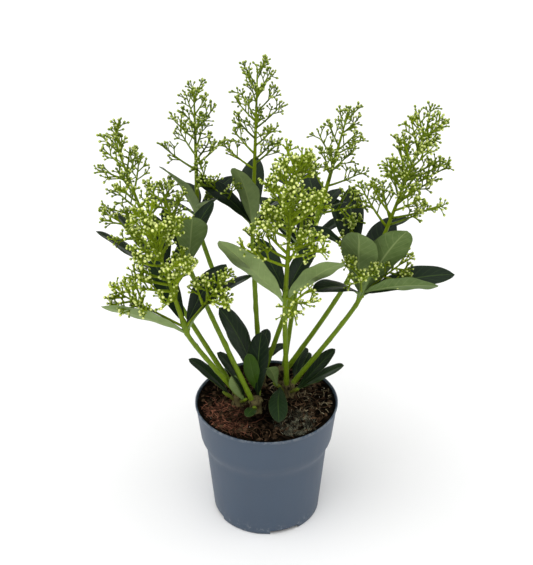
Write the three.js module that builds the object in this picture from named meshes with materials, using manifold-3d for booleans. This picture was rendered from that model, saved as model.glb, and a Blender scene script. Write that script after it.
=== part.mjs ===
// A potted skimmia: a young evergreen shrub in bud, in a plastic nursery pot filled with compost.
// Short woody stubs stand in the compost. Each carries a few bare green stems, each stem ends in a
// whorl of leathery leaves, and a loose panicle of small round buds stands above each whorl.
// Millimetres and degrees, +Z up, origin at the middle of the pot's flat underside.
// A turn is measured round +Z from +X, and a rise is measured up from the horizon.
import * as THREE from "three";
import { mergeVertices } from "three/addons/utils/BufferGeometryUtils.js";
import Module from "manifold-3d";

const wasm = await Module();
wasm.setup();

// Driving dimensions

const CLEARANCE = 0.3; // between one piece and the next
const TOLERANCE = 1e-4; // within which two places are one
const GOLDEN_TURN = 137.5; // from one branch of a panicle to the next
const SEEDS = { shoot: 1000, foot: 500, step: 77 }; // of the first shoot and foot leaf, and to the next

const POT = {
  sides: 40,
  height: 108.5,
  wall: 1.3,
  floor: 1.6,
  baseRadius: 46,
  edge: 1, // chamfer round the underside
  waistRadius: 51.7, // top of the tapered body
  waistHeight: 66,
  collarRadius: 56, // bottom of the wide collar
  collarHeight: 77,
  step: [[0.25, 0.3], [0.8, 0.75]], // shares outwards and upwards from waist to collar
  rimRadius: 60,
  lipHeight: 2.5,
  lipOverhang: 0.7,
  slots: 4, // drainage slots in the bottom edge
  slotTurn: 290,
  slotWidth: 26,
  slotDepth: 7,
  slotHeight: 4,
};

const COMPOST = { height: 106, edgeDrop: 0.8, lumpyRadii: [53, 47], flatRadius: 41, lump: 0.9 };
const LUMP_WAVES = [[0.31, 0.17, 0], [-0.29, 0.23, 2]]; // along x, along y, start

const STUB = { height: 11, sides: 8, places: 3, stemCircle: 3.3, spurShare: 0.1 };
const STUB_BARK = [[6.6, 0], [5.1, 0.2], [4.6, 0.45], [5.9, 0.85], [5.6, 1]]; // radius, share of height
const STUBS = {
  left: { x: -23, y: -3, turn: 150 },
  middle: { x: -9, y: -13, turn: 200 },
  right: { x: 19, y: 11, turn: 235 },
  back: { x: -6, y: 23, turn: 205 },
  rear: { x: 14, y: 32, turn: 70 },
};

const STEM = { footRadius: 2.2, topRadius: 1.8, sides: 6, steps: 5, sway: 0.1 };
const WHORL = { length: 15, footRadius: 2.5, topRadius: 2.1, sides: 6 };
const WHORL_SHARES = { lowestLeaf: 0.1, highestLeaf: 0.5, spray: 0.4 }; // of the way up the whorl
const SPUR = { rise: 40, length: 18, radius: 1.7, sides: 6, firstLeaf: 9 };
const LEAF = {
  width: 0.34, // shares of its length
  thickness: 0.016,
  arch: 0.08,
  petiole: 0.2,
  petioleRadius: 1.1,
  set: 0.7, // from the stem's middle to the leaf's root
  fold: 0.2, // rise of the edges above the midrib, as a share of the distance from it
  roll: 12, // most turn about the midrib
  stops: [0, 0.2, 0.5, 0.83, 1],
  skew: 1.4, // powers of the blade's outline
  fullness: 0.72,
};
const PANICLE = {
  footRadius: 2,
  tipRadius: 0.7,
  sides: 4,
  branchSpacing: 9,
  branchRadius: 0.9,
  turnJitter: 15,
  longestBranch: 32,
  shortestBranch: 13,
  shortening: 1.5, // power by which branches shorten towards the tip
  reachRange: [0.85, 1.1],
  crown: 12, // from the highest branch's root to the panicle's tip
  lowestOpening: 62, // between a branch and the panicle's axis
  highestOpening: 38,
  lift: 0.16, // how far a branch bows up, as a share of its length
  mostBuds: 2, // on stalks to the sides of a branch, besides the one at its tip
  fewestBuds: 1,
  firstBud: 0.4, // shares of a branch below its first and last stalked bud
  lastBud: 0.75,
};
const SPRAY = { bare: 0.45, spread: 0.55, footRadius: 1.1 }; // bare is a share of its length
const BUD = {
  stalk: 9.5,
  stalkRange: [0.75, 1.1],
  stalkRadius: 0.35,
  opening: 48, // between a stalk and its branch
  sideJitter: 50,
  radius: 2.3,
  length: 4.5,
  belly: 0.6, // share of the length from the tip to the widest place
};

// Each shoot stands at one of its stub's three places. Its stem runs to the whorl and its panicle from
// there to the tip, and leaves and small side sprays of buds stand round the whorl: each is a turn, a
// rise and a length, and some leaves have a roll about their midrib and an arch of their own. bare is the
// stretch of panicle below its first branch, spread widens its foot, and firstTurn turns that branch.
const SHOOTS = [
  {
    name: "left",
    stub: "left",
    place: 0,
    stem: [169, 60, 112],
    panicle: [158, 71, 133],
    bare: 40,
    spread: 1.05,
    firstTurn: 0,
    leaves: [[183, 41, 70, 8, 0.02], [153, 46, 70, 25, 0.03], [110, 40, 57], [30, 40, 50]],
    sprays: [[182, 56, 72]],
  },
  {
    name: "back_left",
    stub: "back",
    place: 0,
    stem: [161, 69, 146],
    panicle: [92, 81, 112],
    bare: 28,
    spread: 0.95,
    firstTurn: 165,
    leaves: [[234, 55, 72], [42, 34, 46], [106, 18, 42], [175, 14, 46], [300, 36, 42]],
    sprays: [],
  },
  {
    name: "back",
    stub: "back",
    place: 2,
    stem: [124, 86, 132],
    panicle: [74, 83, 138],
    bare: 37,
    spread: 1,
    firstTurn: 165,
    leaves: [[87, 48, 62], [246, 64, 70, -10], [8, 33, 50], [194, 44, 62, -25], [318, 40, 46]],
    sprays: [[196, 49, 70]],
  },
  {
    name: "front",
    stub: "right",
    place: 0,
    stem: [263, 68, 108],
    panicle: [284, 81, 135],
    bare: 20,
    spread: 1.4,
    firstTurn: 190,
    leaves: [[210, 50, 85, 30, 0.02], [324, 43, 68, -36], [59, 30, 52], [119, 32, 54]],
    sprays: [[296, 16, 34]],
  },
  {
    name: "back_right",
    stub: "back",
    place: 1,
    stem: [25, 69, 145],
    panicle: [38, 71, 97],
    bare: 10,
    spread: 1.1,
    firstTurn: 120,
    leaves: [[60, 14, 44], [330, 36, 30], [100, 20, 48], [150, 26, 46]],
    sprays: [[325, 24, 42]],
  },
  {
    name: "right",
    stub: "right",
    place: 1,
    stem: [343, 58, 106],
    panicle: [22, 70, 158],
    bare: 48,
    spread: 1.3,
    firstTurn: 165,
    leaves: [
      [259, 62, 86], [309, 59, 86, -38], [4, 12, 75, 12],
      [226, 24, 62], [62, 37, 70], [324, 22, 69, -46, 0.03],
    ],
    sprays: [[261, 52, 50], [352, 44, 52], [120, 52, 38]],
  },
  {
    name: "front_left",
    stub: "left",
    place: 1,
    stem: [229, 56, 101],
    panicle: [227, 73, 122],
    bare: 20,
    spread: 1.1,
    firstTurn: 60,
    leaves: [[198, 28, 70, 42, 0.02], [354, 44, 70], [49, 38, 58], [128, 42, 58]],
    sprays: [[338, 55, 62], [190, 36, 66]],
  },
  {
    name: "mid_left",
    stub: "middle",
    place: 0,
    stem: [182, 68, 134],
    panicle: [196, 75, 76],
    bare: 14,
    spread: 0.6,
    firstTurn: 90,
    leaves: [[281, 56, 70], [45, 56, 50], [120, 34, 46]],
    sprays: [],
  },
  {
    name: "mid_right",
    stub: "rear",
    place: 2,
    stem: [358, 61, 117],
    panicle: [121, 78, 40],
    bare: 6,
    spread: 0.25,
    firstTurn: 200,
    leaves: [[91, 54, 63], [112, 46, 55], [190, 42, 46], [20, 28, 56]],
    sprays: [],
  },
  {
    name: "rear",
    stub: "rear",
    place: 0,
    stem: [70, 64, 98],
    panicle: [84, 62, 84],
    bare: 14,
    spread: 1,
    firstTurn: 15,
    leaves: [[20, 32, 58], [126, 28, 66], [76, 30, 60], [200, 44, 48]],
    sprays: [],
  },
];

// Older leaves at the foot of the plant, on short spurs from the sides of the stubs
const FOOT_LEAVES = [
  { name: "left", stub: "left", turn: 185, leaves: [[161, 39, 46, 5]] },
  { name: "left_inner", stub: "left", turn: 300, leaves: [[224, 66, 32, 90, 0], [178, 64, 50, -10]] },
  { name: "middle", stub: "middle", turn: 265, leaves: [[256, 20, 26]] },
  { name: "middle_rear", stub: "middle", turn: 75, leaves: [[79, 74, 56], [160, 76, 38, -62]] },
  { name: "right", stub: "right", turn: 305, leaves: [[347, 37, 51, 2, 0.02], [21, 43, 47, 0, 0.02]] },
  { name: "right_inner", stub: "right", turn: 190, leaves: [[268, -3, 46, 0], [250, 58, 34, 30]] },
  { name: "right_rear", stub: "right", turn: 50, leaves: [[72, 24, 36], [66, 18, 30]] },
  { name: "back", stub: "back", turn: 240, leaves: [[169, 67, 76, -15]] },
  { name: "rear", stub: "back", turn: 110, leaves: [[130, 40, 50], [67, 49, 38], [40, 20, 36]] },
];

const FINISH = {
  pot: { color: 0x4f5c6c, roughness: 0.55 },
  compost: { color: 0x2e2218, roughness: 1 },
  wood: { color: 0x7d6f4e, roughness: 0.9 },
  stem: { color: 0x6f8f1e, roughness: 0.5 },
  leaf: { color: 0x2c4a26, roughness: 0.4 },
  panicle: { color: 0xa9bd52, roughness: 0.6 },
};

// Small tools

const mix = THREE.MathUtils.lerp;
const radians = THREE.MathUtils.degToRad;

// A seeded generator of even numbers from 0 to 1.
function makeDice(seed) {
  let state = seed;
  return () => {
    state = (state * 16807) % 2147483647;
    return state / 2147483647;
  };
}

// The unit vector at a turn and a rise.
function heading(turn, rise) {
  const level = Math.cos(radians(rise));
  return new THREE.Vector3(
    level * Math.cos(radians(turn)),
    level * Math.sin(radians(turn)),
    Math.sin(radians(rise)),
  );
}

// The point at a distance from another.
const beyond = (from, direction, distance) => from.clone().addScaledVector(direction, distance);

// A direction well away from a given one.
function aside(direction) {
  return Math.abs(direction.z) < 0.9 ? new THREE.Vector3(0, 0, 1) : new THREE.Vector3(0, 1, 0);
}

// A direction opened away from an axis, towards a side square to it.
function opened(axis, side, angle) {
  const direction = axis.clone().multiplyScalar(Math.cos(radians(angle)));
  return direction.addScaledVector(side, Math.sin(radians(angle)));
}

// Solids

function solidOf(geometry) {
  const bare = geometry.clone();
  bare.deleteAttribute("normal");
  bare.deleteAttribute("uv");
  const merged = mergeVertices(bare, TOLERANCE);
  return new wasm.Manifold(
    new wasm.Mesh({
      numProp: 3,
      vertProperties: merged.getAttribute("position").array,
      triVerts: new Uint32Array(merged.index.array),
    }),
  );
}

function geometryOf(solid) {
  const mesh = solid.getMesh();
  const geometry = new THREE.BufferGeometry();
  geometry.setAttribute("position", new THREE.BufferAttribute(mesh.vertProperties, 3));
  geometry.setIndex(new THREE.BufferAttribute(mesh.triVerts, 1));
  geometry.computeVertexNormals();
  return geometry;
}

// Pieces joined into one body, with any hollow that this seals filled and any loose scrap dropped.
function fused(solids) {
  const whole = solids.reduce((sum, solid) => sum.add(solid));
  return whole.decompose().reduce((most, body) => (body.volume() > most.volume() ? body : most));
}

// A limb: a cylinder wrapped round a curve. stops are the shares of its length where a section stands,
// across and through give half the width and thickness there, up is the side that the section faces,
// and fold lifts its edges, as along the keel of a leaf. A pointed limb closes to a tip.
function limb(curve, { sides, stops, up, across, through = across, fold = 0, pointed = false }) {
  const steps = stops.length - 1;
  const geometry = new THREE.CylinderGeometry(pointed ? 0 : 1, 1, 1, sides, steps);
  const corners = geometry.getAttribute("position");
  for (let i = 0; i < corners.count; i++) {
    const share = stops[Math.round((corners.getY(i) + 0.5) * steps)];
    const along = curve.getTangent(share);
    const side = along.clone().cross(up).normalize();
    const face = side.clone().cross(along);
    const onAxis = Math.hypot(corners.getX(i), corners.getZ(i)) < TOLERANCE;
    const angle = Math.atan2(corners.getX(i), corners.getZ(i));
    const wide = onAxis ? 0 : Math.sin(angle) * across(share);
    const thick = onAxis ? 0 : Math.cos(angle) * through(share);
    const corner = beyond(curve.getPoint(share), side, wide);
    corner.addScaledVector(face, thick + fold * Math.abs(wide));
    corners.setXYZ(i, corner.x, corner.y, corner.z);
  }
  return solidOf(geometry);
}

// A straight round limb that tapers from its foot to its tip.
function rod(foot, tip, footRadius, tipRadius, sides) {
  const line = new THREE.LineCurve3(foot, tip);
  const across = (share) => mix(footRadius, tipRadius, share);
  return limb(line, { sides, stops: [0, 1], up: aside(line.getTangent(0)), across });
}

// Pot and compost

// The pot's outer face from the bottom edge up to the lip, as radius and height.
function potOutline() {
  const { waistRadius, waistHeight, collarRadius, collarHeight } = POT;
  const step = POT.step.map(([outward, upward]) => [
    mix(waistRadius, collarRadius, outward),
    mix(waistHeight, collarHeight, upward),
  ]);
  return [
    [POT.baseRadius - POT.edge, 0],
    [POT.baseRadius, POT.edge],
    [waistRadius, waistHeight],
    ...step,
    [collarRadius, collarHeight],
    [POT.rimRadius - POT.lipOverhang, POT.height - POT.lipHeight],
  ];
}

// The pot's inner radius at a height: its outer face less the wall.
function innerRadius(height) {
  const outline = potOutline();
  const upper = outline.findIndex(([, z]) => z >= height);
  const [lowRadius, low] = outline[upper - 1];
  const [highRadius, high] = outline[upper];
  return mix(lowRadius, highRadius, (height - low) / (high - low)) - POT.wall;
}

// A solid of revolution about Z from an outline of radius and height that starts and ends on the axis.
function turned(outline, sides) {
  const points = outline.map(([radius, z]) => new THREE.Vector2(radius, z));
  return new THREE.LatheGeometry(points, sides).rotateX(Math.PI / 2);
}

function potSolid() {
  const lipFoot = POT.height - POT.lipHeight;
  const outline = [
    [0, 0],
    ...potOutline(),
    [POT.rimRadius, lipFoot + POT.lipOverhang],
    [POT.rimRadius, POT.height],
    [POT.rimRadius - POT.wall, POT.height],
    ...[lipFoot, POT.collarHeight, POT.waistHeight, POT.floor].map((z) => [innerRadius(z), z]),
    [0, POT.floor],
  ];
  const slot = new THREE.BoxGeometry(2 * POT.slotDepth, POT.slotWidth, 2 * POT.slotHeight);
  slot.translate(POT.baseRadius, 0, 0);
  let pot = solidOf(turned(outline, POT.sides));
  for (let i = 0; i < POT.slots; i++) {
    const turn = radians(POT.slotTurn + (360 / POT.slots) * i);
    pot = pot.subtract(solidOf(slot.clone().rotateZ(turn)));
  }
  return pot;
}

// The compost fills the pot, level where the stubs stand and lumpy towards the rim.
function compostSolid() {
  const seat = POT.floor + CLEARANCE;
  const wall = [seat, POT.waistHeight, POT.collarHeight, COMPOST.height - COMPOST.edgeDrop];
  const outline = [
    [0, seat],
    ...wall.map((z) => [innerRadius(z) - CLEARANCE, z]),
    ...[...COMPOST.lumpyRadii, COMPOST.flatRadius, 0].map((radius) => [radius, COMPOST.height]),
  ];
  const geometry = turned(outline, POT.sides);
  const corners = geometry.getAttribute("position");
  for (let i = 0; i < corners.count; i++) {
    const [x, y, z] = [corners.getX(i), corners.getY(i), corners.getZ(i)];
    const lumpy = z > COMPOST.height - TOLERANCE && Math.hypot(x, y) > COMPOST.flatRadius + TOLERANCE;
    const waves = LUMP_WAVES.map(([alongX, alongY, start]) => Math.sin(alongX * x + alongY * y + start));
    if (lumpy) corners.setZ(i, z + COMPOST.lump * (waves[0] + waves[1]));
  }
  return solidOf(geometry);
}

// Stubs and stems

const stubFoot = COMPOST.height + CLEARANCE;
const stubTop = stubFoot + STUB.height;

// A woody stub with a flat foot, a root flare and a swollen flat top. margin thickens it.
function stubSolid({ x, y }, margin = 0) {
  const bark = STUB_BARK.map(([radius, share]) => [radius + margin, mix(stubFoot, stubTop, share)]);
  const outline = [[0, stubFoot], ...bark, [0, stubTop]];
  return solidOf(turned(outline, STUB.sides).translate(x, y, 0));
}

// The line of a shoot: its stem from the stub to the whorl, then the straight axis of whorl and panicle.
function shootLine(shoot) {
  const stub = STUBS[shoot.stub];
  const middle = new THREE.Vector3(stub.x, stub.y, stubTop);
  const foot = beyond(middle, heading(stub.turn + (360 / STUB.places) * shoot.place, 0), STUB.stemCircle);
  const [turn, rise, length] = shoot.stem;
  const whorl = beyond(middle, heading(turn, rise), length);
  const axis = heading(shoot.panicle[0], shoot.panicle[1]);
  const bend = beyond(whorl, axis, -STEM.sway * length);
  return { stem: new THREE.QuadraticBezierCurve3(foot, bend, whorl), axis };
}

// A bare stem, cut level at its foot just above the stub and square at the whorl.
function stemSolid(stem) {
  const whole = limb(stem, {
    sides: STEM.sides,
    stops: Array.from({ length: STEM.steps + 1 }, (_, i) => i / STEM.steps),
    up: new THREE.Vector3(0, 1, 0),
    across: (share) => mix(STEM.footRadius, STEM.topRadius, share),
  });
  const size = 8 * STEM.footRadius;
  const below = new THREE.BoxGeometry(size, size, size);
  below.translate(stem.v0.x, stem.v0.y, stubTop + CLEARANCE - size / 2);
  return whole.subtract(solidOf(below));
}

// Leaves

// One leaf: a thin pointed blade on a short stalk, keeled along its midrib and arched over. margin
// thickens it, to test the room round it.
function leafSolid(root, [turn, rise, length, , arch = LEAF.arch], roll, margin = 0) {
  const chord = heading(turn, rise);
  const up = heading(turn, rise + 90).applyAxisAngle(chord, radians(roll));
  const tip = beyond(root, chord, length);
  const crest = beyond(root.clone().lerp(tip, 0.5), up, 2 * arch * length);
  const outline = (share) => Math.sin(Math.PI * share ** LEAF.skew) ** LEAF.fullness;
  const widest = (LEAF.width * length) / 2;
  const thickness = (LEAF.thickness * length) / 2;
  const blade = (share) => Math.min(1, share / LEAF.petiole);
  return limb(new THREE.QuadraticBezierCurve3(root, crest, tip), {
    sides: 4,
    stops: LEAF.stops,
    pointed: true,
    up,
    fold: LEAF.fold,
    across: (share) => Math.max(widest * outline(share), LEAF.petioleRadius) + margin,
    through: (share) => mix(LEAF.petioleRadius, thickness, blade(share)) + margin,
  });
}

// Panicles

// The branches of a panicle by a seeded rule: each leaves the axis a golden turn round from the last,
// the low ones long and spread, the high ones short and steep, with stalked buds along its far end.
function panicleBranches({ foot, axis, length, bare, spread, firstTurn }, dice) {
  const count = Math.round((length - bare) / PANICLE.branchSpacing);
  const across = aside(axis).cross(axis).normalize();
  const branches = [];
  for (let i = 0; i < count; i++) {
    const share = i / (count - 1);
    const turn = firstTurn + GOLDEN_TURN * i + mix(-PANICLE.turnJitter, PANICLE.turnJitter, dice());
    const side = across.clone().applyAxisAngle(axis, radians(turn));
    const direction = opened(axis, side, mix(PANICLE.lowestOpening, PANICLE.highestOpening, share));
    const usual = mix(spread * PANICLE.longestBranch, PANICLE.shortestBranch, share ** PANICLE.shortening);
    const reach = usual * mix(...PANICLE.reachRange, dice());
    const root = beyond(foot, axis, mix(bare, length - PANICLE.crown, share));
    const tip = beyond(beyond(root, direction, reach), axis, PANICLE.lift * reach);
    const curve = new THREE.QuadraticBezierCurve3(root, beyond(root, direction, reach / 2), tip);
    const budCount = Math.round(mix(PANICLE.mostBuds, PANICLE.fewestBuds, share));
    branches.push({ curve, buds: budStalks(curve, budCount, axis, dice) });
  }
  return branches;
}

// The axis of a panicle or a spray.
function axisSolid({ foot, axis, length }, footRadius) {
  const tip = beyond(foot, axis, length - PANICLE.crown);
  return rod(foot, tip, footRadius, PANICLE.tipRadius, PANICLE.sides);
}

// The stalked buds of one branch, to either side of it by turns.
function budStalks(curve, count, axis, dice) {
  const buds = [];
  for (let i = 0; i < count; i++) {
    const share = mix(PANICLE.firstBud, PANICLE.lastBud, count > 1 ? i / (count - 1) : 1);
    const root = curve.getPoint(share);
    const along = curve.getTangent(share);
    const side = along.clone().cross(axis).normalize();
    const jitter = mix(-BUD.sideJitter, BUD.sideJitter, dice());
    side.applyAxisAngle(along, radians(180 * (i % 2) + jitter));
    const stalk = BUD.stalk * mix(...BUD.stalkRange, dice());
    buds.push(new THREE.LineCurve3(root, beyond(root, opened(along, side, BUD.opening), stalk)));
  }
  return buds;
}

// A twig that ends in a bud: a branch of the panicle, or the stalk of a single bud.
function twigSolid(curve, footRadius, middle, margin = 0) {
  const belly = 1 - (BUD.belly * BUD.length) / curve.getLength();
  return limb(curve, {
    sides: 3,
    stops: [0, ...middle, belly, 1],
    pointed: true,
    up: aside(curve.getTangent(0.5)),
    across: (share) => (share < belly ? mix(footRadius, BUD.stalkRadius, share) : BUD.radius) + margin,
  });
}

// Assembly

// Every node's pieces. A leaf or twig is left out where it would touch another node's piece.
const nodes = new Map();

function boxOf(solid) {
  const { min, max } = solid.boundingBox();
  return new THREE.Box3(new THREE.Vector3(...min), new THREE.Vector3(...max));
}

function put(name, finish, piece) {
  const node = nodes.get(name) ?? { finish, pieces: [] };
  node.pieces.push({ piece, box: boxOf(piece) });
  nodes.set(name, node);
}

function hasRoom(name, probe) {
  const box = boxOf(probe);
  for (const [other, { pieces }] of nodes) {
    if (other === name) continue;
    const near = pieces.filter((item) => item.box.intersectsBox(box));
    if (near.some((item) => !item.piece.intersect(probe).isEmpty())) return false;
  }
  return true;
}

put("pot", FINISH.pot, potSolid());
put("compost", FINISH.compost, compostSolid());
for (const [name, stub] of Object.entries(STUBS)) put(`stub_${name}`, FINISH.wood, stubSolid(stub));

// Stems, whorl stems and panicle axes stand before anything is fused to them.
const shoots = SHOOTS.map((shoot, i) => {
  const { stem, axis } = shootLine(shoot);
  const whorlFoot = beyond(stem.v2, axis, CLEARANCE);
  const whorlTop = beyond(stem.v2, axis, WHORL.length);
  const panicle = {
    foot: beyond(whorlTop, axis, CLEARANCE),
    axis,
    length: shoot.panicle[2] - WHORL.length - CLEARANCE,
    bare: shoot.bare,
    spread: shoot.spread,
    firstTurn: shoot.firstTurn,
  };
  put(`stem_${shoot.name}`, FINISH.stem, stemSolid(stem));
  const whorlStem = rod(whorlFoot, whorlTop, WHORL.footRadius, WHORL.topRadius, WHORL.sides);
  put(`whorl_${shoot.name}`, FINISH.leaf, whorlStem);
  put(`panicle_${shoot.name}`, FINISH.panicle, axisSolid(panicle, PANICLE.footRadius));
  return { ...shoot, whorlFoot, axis, panicle, dice: makeDice(SEEDS.shoot + SEEDS.step * i) };
});

function growLeaves(name, leaves, foot, axis, length, dice) {
  leaves.forEach((leaf, i) => {
    const spacing = i / Math.max(1, leaves.length - 1);
    const share = mix(WHORL_SHARES.lowestLeaf, WHORL_SHARES.highestLeaf, spacing);
    const root = beyond(beyond(foot, axis, share * length), heading(leaf[0], leaf[1]), LEAF.set);
    const anyRoll = mix(-LEAF.roll, LEAF.roll, dice());
    const roll = leaf[3] ?? anyRoll;
    if (hasRoom(name, leafSolid(root, leaf, roll, CLEARANCE))) {
      put(name, FINISH.leaf, leafSolid(root, leaf, roll));
    }
  });
}

function growBranches(name, panicle, dice) {
  for (const { curve, buds } of panicleBranches(panicle, dice)) {
    if (!hasRoom(name, twigSolid(curve, PANICLE.branchRadius, [0.5], CLEARANCE))) continue;
    put(name, FINISH.panicle, twigSolid(curve, PANICLE.branchRadius, [0.5]));
    for (const bud of buds) {
      if (!hasRoom(name, twigSolid(bud, BUD.stalkRadius, [], CLEARANCE))) continue;
      put(name, FINISH.panicle, twigSolid(bud, BUD.stalkRadius, []));
    }
  }
}

// A spur grows out of its stub's side, clear of it, and carries leaves past firstLeaf.
FOOT_LEAVES.forEach(({ name, stub, turn, leaves }, i) => {
  const { x, y } = STUBS[stub];
  const root = new THREE.Vector3(x, y, mix(stubFoot, stubTop, STUB.spurShare));
  const direction = heading(turn, SPUR.rise);
  const tip = beyond(root, direction, SPUR.length);
  const spur = rod(root, tip, SPUR.radius, SPUR.radius, SPUR.sides);
  put(`foot_leaves_${name}`, FINISH.leaf, spur.subtract(stubSolid(STUBS[stub], CLEARANCE)));
  const firstLeaf = beyond(root, direction, SPUR.firstLeaf);
  const leafy = SPUR.length - SPUR.firstLeaf;
  const dice = makeDice(SEEDS.foot + SEEDS.step * i);
  growLeaves(`foot_leaves_${name}`, leaves, firstLeaf, direction, leafy, dice);
});

for (const { name, leaves, whorlFoot, axis, dice } of shoots) {
  growLeaves(`whorl_${name}`, leaves, whorlFoot, axis, WHORL.length, dice);
}

for (const { name, panicle, sprays, whorlFoot, axis, dice } of shoots) {
  growBranches(`panicle_${name}`, panicle, dice);
  for (const [turn, rise, length] of sprays) {
    const spray = {
      foot: beyond(whorlFoot, axis, WHORL_SHARES.spray * WHORL.length),
      axis: heading(turn, rise),
      length,
      bare: SPRAY.bare * length,
      spread: SPRAY.spread,
      firstTurn: 360 * dice(),
    };
    if (!hasRoom(`whorl_${name}`, axisSolid(spray, SPRAY.footRadius + CLEARANCE))) continue;
    put(`whorl_${name}`, FINISH.panicle, axisSolid(spray, SPRAY.footRadius));
    growBranches(`whorl_${name}`, spray, dice);
  }
}

const plant = new THREE.Group();
for (const [name, { finish, pieces }] of nodes) {
  const solid = fused(pieces.map(({ piece }) => piece));
  const mesh = new THREE.Mesh(geometryOf(solid), new THREE.MeshStandardMaterial(finish));
  mesh.name = name;
  plant.add(mesh);
}

export default plant;
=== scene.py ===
import math
from collections import namedtuple

import bmesh
import bpy
import numpy as np
from mathutils import Matrix, Vector, noise


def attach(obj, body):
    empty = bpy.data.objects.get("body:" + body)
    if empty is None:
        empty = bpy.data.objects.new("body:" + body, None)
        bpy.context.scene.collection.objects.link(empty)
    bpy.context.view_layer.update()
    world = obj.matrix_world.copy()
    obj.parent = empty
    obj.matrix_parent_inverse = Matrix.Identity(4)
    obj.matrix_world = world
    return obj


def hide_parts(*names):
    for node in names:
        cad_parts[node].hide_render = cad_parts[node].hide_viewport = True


# A potted skimmia: a young evergreen shrub in bud, in a plastic nursery pot filled with compost.
# The plant is grown by the same seeded rule as its solids, and carried on to finer twigs and buds.
# Lengths are in millimetres until a mesh is made, and angles in degrees. A turn is measured round +Z
# from +X, and a rise is measured up from the horizon.

MM = 0.001
CLEARANCE = 0.3
TOUCHING = 0.001
GOLDEN_TURN = 137.5

# Seeded dice: the numbers of their rule, and the seeds of the shoots, of the leaves at the foot and of
# all that is finer than the solids
DICE_FACTOR = 16807
DICE_RANGE = 2147483647
SEEDS = {"shoot": 1000, "foot": 500, "step": 77, "fine": 40000}

# The camera of the photograph
CAMERA_PLACE = (0, -693.9, 599.4)
CAMERA_PITCH = 61.34
CAMERA_LENS = 63.9

# Lights: turn, rise, strength and softness
LIGHTS = {
    "key": (235, 60, 1.8, 70),
    "fill": (315, 52, 0.6, 80),
    "top": (80, 75, 0.7, 80),
    "left": (170, 12, 0.5, 45),
    "right": (10, 12, 0.45, 45),
}
SKY_STRENGTH = 0.3
FLOOR_HALF_SIDE = 12000

# Pot: outer face from the bottom edge to the lip, as radius and height. The rolled lip is given as inset
# and drop from the rim's top edge, and the paler patches along its top by the drops at which they start
# and are full. Dust reaches up to a height at the foot.
POT_OUTLINE = [
    (45, 0), (46, 1), (51.7, 66), (52.8, 69.3), (54.2, 72), (55.2, 74.3), (56, 77), (59.3, 106),
]
POT_HEIGHT = 108.5
POT_RIM = 60
POT_WALL = 1.3
POT_FLOOR = 1.6
LIP_OUTLINE = [(0.15, 2.1), (0, 1.5), (0, 0.4), (0.35, 0), (1, 0), (POT_WALL, 0.4)]
PALE_LIP = (3, 0.3)
DUSTY_FOOT = 16
POT_STEPS = 144
POT_RING = 3.5
POT_CREASE = 40
SLOTS = {"count": 4, "turn": 290, "width": 26, "depth": 7, "height": 4, "rounding": 1.2}

# Compost: heights of its side from the top down to its underside, lumps as fineness and height, the heap
# against the pot's wall, and the painted shade round the stubs, which gives way to random darker patches
SOIL_LEVEL = 106
SOIL_RADIUS = 57.8
SOIL_SIDE = (96, 77, 66, 2)
SOIL_STEPS = 120
SOIL_RINGS = 40
SOIL_LUMPS = [(0.07, 1), (0.19, 0.9), (0.5, 0.8)]
SOIL_HEAP = {"start": 50, "width": 8, "height": 1.1, "evenness": 0.6}
SHADE_AND_PATCHES = {
    "middle": (-3, -14),
    "radius": 24,
    "edge": (0.2, 1.6),
    "patch_scale": 130,
    "patch_edge": (0.42, 0.56),
    "patch_share": 0.75,
    "least_own_colour": 0.15,
}

# Fibres on the compost: seed, number, middle and radius of the place where they lie, lengths,
# thicknesses and most bend
FIBRES = {
    "red_fibres": (7001, 300, (-34, -22), 22, (7, 22), (0.2, 0.55), 140),
    "dark_fibres": (7013, 380, (0, 0), 54, (6, 20), (0.16, 0.45), 140),
    "straw_bits": (7027, 150, (25, 4), 32, (3, 10), (0.28, 0.6), 40),
}
FIBRE = {"steps": 6, "rise": (0.1, 1.2), "lift": 0.1, "taper": 0.5, "sides": 4, "margin": 1.5}

# Chips and grains: seed, number, radius of the place where they lie, sizes and flatness
LUMPS = {
    "bark_chips": (7103, 330, 54, (0.9, 3.2), 0.6),
    "pale_grains": (7207, 45, 53, (0.35, 0.75), 0.9),
}
LUMP = {"uneven": (0.75, 1.2), "tilt_radians": 0.5, "lift": 0.2}

# Moss: tufts of threads, each tuft and thread with a tone of its own
MOSS = {
    "seed": 7309,
    "tufts": 170,
    "threads": 9,
    "tuft": 1.7,
    "middle": (22, -31),
    "radius": 18,
    "margin": 3,
    "rise": (15, 80),
    "length": (1.2, 3.4),
    "bow": 0.15,
    "sunk": 0.3,
    "thickness": 0.22,
    "taper": 0.4,
    "points": 4,
    "sides": 3,
    "tuft_tone": 0.6,
    "thread_tone": 0.4,
    "contrast": 3,
}

# Woody stubs: bark as radius and share of the height, crown as radius and height over the top. Stems
# stand at a few places on a circle there. Each stub has its own place and the turn of its first stem.
STUB_HEIGHT = 11
STUB_FOOT = SOIL_LEVEL + CLEARANCE
STUB_TOP = STUB_FOOT + STUB_HEIGHT
STUB_SUNK = 2
STUB_BARK = [(6.6, 0), (5.1, 0.2), (4.6, 0.45), (5.9, 0.85), (5.6, 1)]
STUB_CROWN = [(4.2, 0.9), (2, 1.3), (0, 1.4)]
STUB_RINGS = 14
STUB_STEPS = 36
RIDGES = {"across": 0.9, "upright": 0.22, "height": 0.75}
KNOTS = {"fineness": 0.22, "height": 1.1}
STEM_CIRCLE = 3.3
STEM_PLACES = 3
STUBS = {
    "left": (-23, -3, 150),
    "middle": (-9, -13, 200),
    "right": (19, 11, 235),
    "back": (-6, 23, 205),
    "rear": (14, 32, 70),
}

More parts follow.
